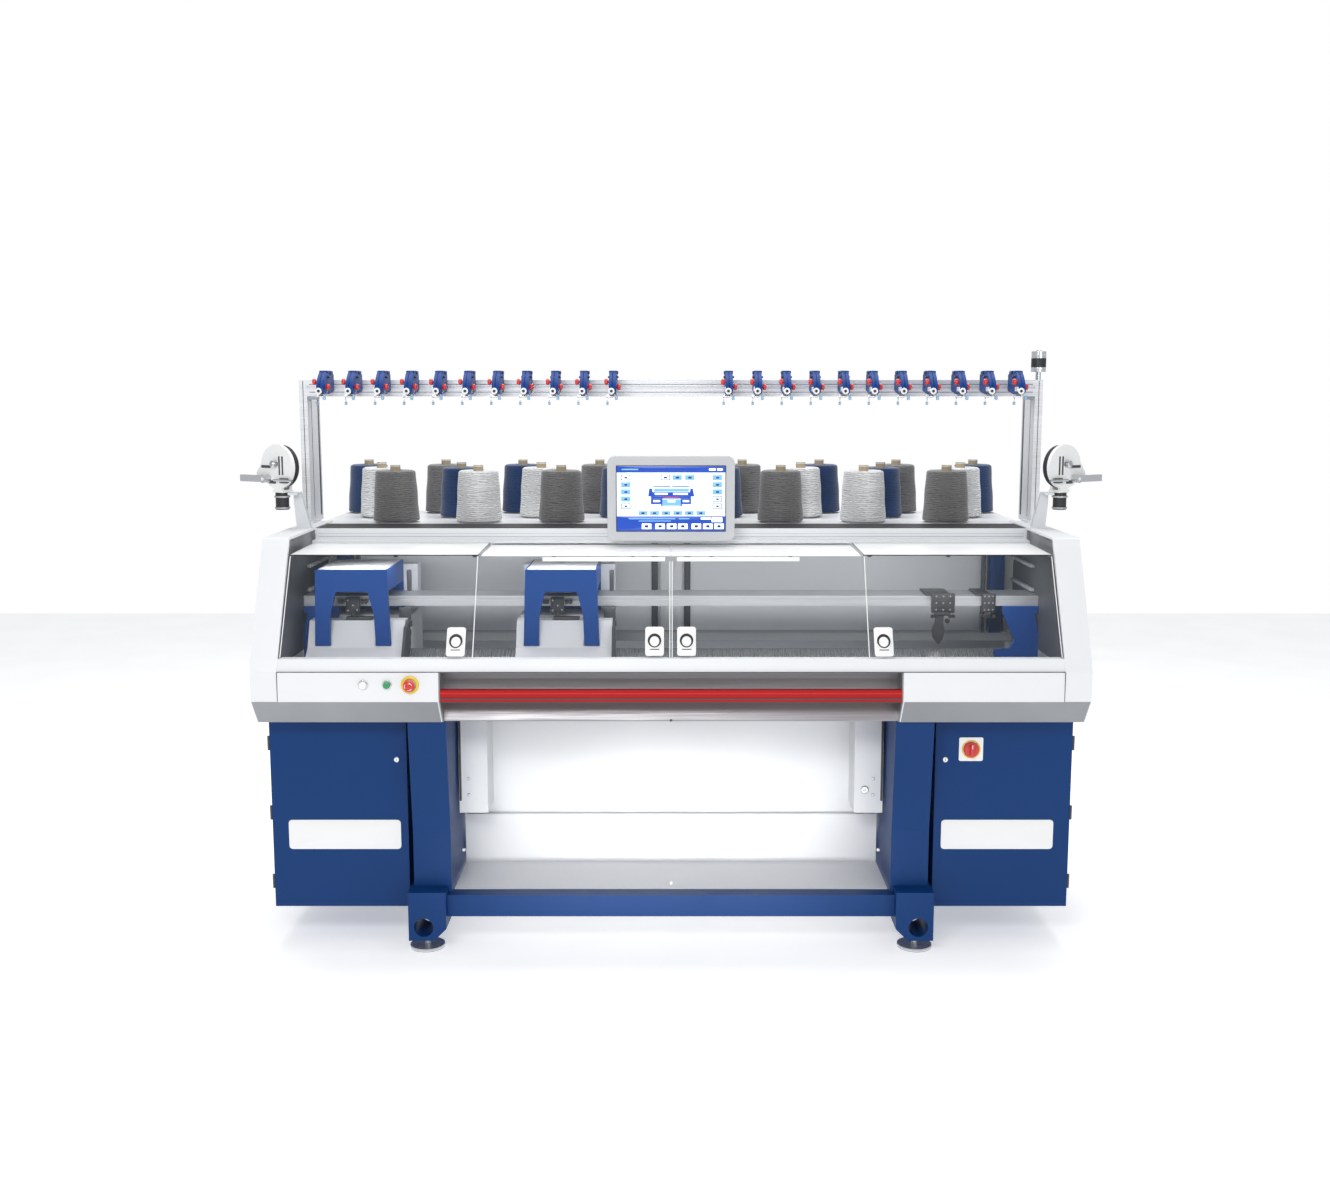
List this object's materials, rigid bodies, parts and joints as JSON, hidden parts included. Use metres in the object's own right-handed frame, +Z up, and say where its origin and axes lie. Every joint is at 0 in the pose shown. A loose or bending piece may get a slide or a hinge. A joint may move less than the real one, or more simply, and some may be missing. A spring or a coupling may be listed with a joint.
{
  "type": "flat knitting machine",
  "caption": "Computerised flat knitting machine with twin carriages under sliding windows, a cone table, a yarn creel and a touch screen.",
  "frame": {"origin": "on the floor, under the middle of the whole machine's width and depth", "axes": "+X to the operator's right along the needle beds, +Y to the back, +Z up"},
  "size_m": [3.1538, 1.455, 2.078],
  "materials": {
    "blue_paint": "satin",
    "white_paint": "satin",
    "grey_paint": "satin",
    "dark_steel": "satin",
    "steel": "satin",
    "aluminium": "satin",
    "clear": "gloss",
    "red_paint": "gloss",
    "white_plastic": "gloss",
    "green_plastic": "gloss",
    "red_plastic": "gloss",
    "black_plastic": "matte",
    "blue_plastic": "gloss",
    "yarn": "matte",
    "card": "matte",
    "rubber_black": "matte",
    "iron": "matte"
  },
  "bodies": {
    "machine": {"apron_lower": "white_paint", "apron_upper": "white_paint", "back_wall": "grey_paint", "base_frame": "blue_paint", "beam_brackets": "blue_paint", "bed_casting": "iron", "button_collars": "steel", "cabinet_shells": "blue_paint", "carriage_rails": "steel", "cone_cores": "card", "creel_bar": "aluminium", "creel_posts": "aluminium", "drive_belt": "rubber_black", "drive_motor": "black_plastic", "end_covers": "white_paint", "fabric_tray": "dark_steel", "feeder_beam": "aluminium", "feeder_brackets": "grey_paint", "feeder_housings": "aluminium", "feeder_motors": "black_plastic", "front_panels": "white_paint", "front_sill": "white_paint", "levelling_feet": "steel", "needle_beds": "steel", "screen_mount": "dark_steel", "signal_lamp": "aluminium", "table_fascia": "white_paint", "window_track": "aluminium", "yarn_cones": "yarn", "yarn_heads": "blue_plastic", "yarn_table": "white_paint"},
    "carriage_left": {"carriage_hood_left": "blue_plastic", "carriage_cam_box_left": "grey_paint", "carriage_rear_box_left": "grey_paint"},
    "carriage_right": {"carriage_hood_right": "blue_plastic", "carriage_cam_box_right": "grey_paint", "carriage_rear_box_right": "grey_paint"},
    "window_outer_left": {"window_outer_left": "clear"},
    "window_inner_left": {"window_inner_left": "clear"},
    "window_inner_right": {"window_inner_right": "clear"},
    "window_outer_right": {"window_outer_right": "clear"},
    "start_bar": {"start_bar": "red_paint"},
    "white_button": {"white_button": "white_plastic"},
    "green_button": {"green_button": "green_plastic"},
    "emergency_stop": {"emergency_stop": "red_plastic"},
    "door_left": {"cabinet_door_left": "blue_paint"},
    "door_right": {"cabinet_door_right": "blue_paint"},
    "switch_knob": {"switch_knob": "red_plastic"},
    "tension_arms": {"tension_arms": "steel"},
    "touch_screen": {"touch_screen": "grey_paint"},
    "take_down_roller": {"take_down_roller": "rubber_black"},
    "counter_roller": {"counter_roller": "steel"},
    "drive_pulley": {"drive_pulley": "aluminium"},
    "idler_pulley": {"idler_pulley": "aluminium"},
    "feed_wheel_right": {"feed_wheel_right": "rubber_black"},
    "feed_wheel_left": {"feed_wheel_left": "rubber_black"},
    "feeder_arm_right": {"feeder_arm_right": "aluminium"},
    "feeder_arm_left": {"feeder_arm_left": "aluminium"},
    "yarn_carrier_long": {"yarn_carrier_long": "dark_steel"},
    "yarn_carrier_short": {"yarn_carrier_short": "dark_steel"}
  },
  "joints": [
    {"name": "carriage_left_travel", "type": "slide", "parent": "machine", "child": "carriage_left", "axis": [1, 0, 0], "range_m": [0, 1.46]},
    {"name": "carriage_right_travel", "type": "slide", "parent": "machine", "child": "carriage_right", "axis": [1, 0, 0], "range_m": [0, 1.46]},
    {"name": "window_outer_left_slide", "type": "slide", "parent": "machine", "child": "window_outer_left", "axis": [1, 0, 0], "range_m": [0, 0.55]},
    {"name": "window_inner_left_slide", "type": "slide", "parent": "machine", "child": "window_inner_left", "axis": [1, 0, 0], "range_m": [-0.55, 0]},
    {"name": "window_inner_right_slide", "type": "slide", "parent": "machine", "child": "window_inner_right", "axis": [1, 0, 0], "range_m": [0, 0.55]},
    {"name": "window_outer_right_slide", "type": "slide", "parent": "machine", "child": "window_outer_right", "axis": [1, 0, 0], "range_m": [-0.55, 0]},
    {"name": "start_bar_turn", "type": "hinge", "parent": "machine", "child": "start_bar", "pos_m": [0, -0.6815, 0.924], "axis": [1, 0, 0], "range_deg": [-12, 12], "stiffness_Nm_per_rad": 1.5},
    {"name": "white_button_push", "type": "slide", "parent": "machine", "child": "white_button", "axis": [0, 1, 0], "range_m": [0, 0.0035], "stiffness_N_per_m": 300},
    {"name": "green_button_push", "type": "slide", "parent": "machine", "child": "green_button", "axis": [0, 1, 0], "range_m": [0, 0.0035], "stiffness_N_per_m": 300},
    {"name": "emergency_stop_push", "type": "slide", "parent": "machine", "child": "emergency_stop", "axis": [0, 1, 0], "range_m": [0, 0.0035], "stiffness_N_per_m": 600},
    {"name": "door_left_swing", "type": "hinge", "parent": "machine", "child": "door_left", "pos_m": [-1.386, -0.5045, 0.5], "axis": [0, 0, 1], "range_deg": [-100, 0]},
    {"name": "door_right_swing", "type": "hinge", "parent": "machine", "child": "door_right", "pos_m": [1.386, -0.5045, 0.5], "axis": [0, 0, 1], "range_deg": [0, 100]},
    {"name": "switch_turn", "type": "hinge", "parent": "door_right", "child": "switch_knob", "pos_m": [1.036, -0.5325, 0.702], "axis": [0, 1, 0], "range_deg": [0, 90]},
    {"name": "tension_arms_swing", "type": "hinge", "parent": "machine", "child": "tension_arms", "pos_m": [0, -0.0725, 1.908], "axis": [1, 0, 0], "range_deg": [-30, 30]},
    {"name": "touch_screen_tilt", "type": "hinge", "parent": "machine", "child": "touch_screen", "pos_m": [0, -0.1445, 1.54], "axis": [1, 0, 0], "range_deg": [-20, 0]},
    {"name": "take_down_roller_turn", "type": "hinge", "parent": "machine", "child": "take_down_roller", "pos_m": [0, -0.3405, 0.862], "axis": [1, 0, 0], "continuous": true},
    {"name": "counter_roller_turn", "type": "hinge", "parent": "machine", "child": "counter_roller", "pos_m": [0, -0.2922, 0.862], "axis": [1, 0, 0], "continuous": true},
    {"name": "drive_pulley_turn", "type": "hinge", "parent": "machine", "child": "drive_pulley", "pos_m": [-1.272, -0.0225, 1.015], "axis": [0, 0, 1], "range_deg": [0, 3000]},
    {"name": "idler_pulley_turn", "type": "hinge", "parent": "machine", "child": "idler_pulley", "pos_m": [1.272, -0.0225, 1.015], "axis": [0, 0, 1], "range_deg": [0, 3000]},
    {"name": "feed_wheel_right_turn", "type": "hinge", "parent": "machine", "child": "feed_wheel_right", "pos_m": [1.40969, -0.1396, 1.656], "axis": [-0.5299, 0.848, 0], "continuous": true},
    {"name": "feed_wheel_left_turn", "type": "hinge", "parent": "machine", "child": "feed_wheel_left", "pos_m": [-1.40969, -0.1396, 1.656], "axis": [0.5299, 0.848, 0], "continuous": true},
    {"name": "feeder_arm_right_swing", "type": "hinge", "parent": "machine", "child": "feeder_arm_right", "pos_m": [1.46926, -0.1519, 1.612], "axis": [-0.5299, 0.848, 0], "range_deg": [-25, 25]},
    {"name": "feeder_arm_left_swing", "type": "hinge", "parent": "machine", "child": "feeder_arm_left", "pos_m": [-1.46926, -0.1519, 1.612], "axis": [0.5299, 0.848, 0], "range_deg": [-25, 25]},
    {"name": "yarn_carrier_long_slide", "type": "slide", "parent": "machine", "child": "yarn_carrier_long", "axis": [1, 0, 0], "range_m": [-1.9, 0.02]},
    {"name": "yarn_carrier_short_slide", "type": "slide", "parent": "machine", "child": "yarn_carrier_short", "axis": [1, 0, 0], "range_m": [-0.04, 0.005]}
  ],
  "couplings": [
    {"joint": "carriage_right_travel", "follows": "carriage_left_travel", "ratio": 1},
    {"joint": "drive_pulley_turn", "follows": "carriage_left_travel", "rad_per_m": 33.333},
    {"joint": "idler_pulley_turn", "follows": "carriage_left_travel", "rad_per_m": 33.333},
    {"joint": "counter_roller_turn", "follows": "take_down_roller_turn", "ratio": -1.6667}
  ]
}
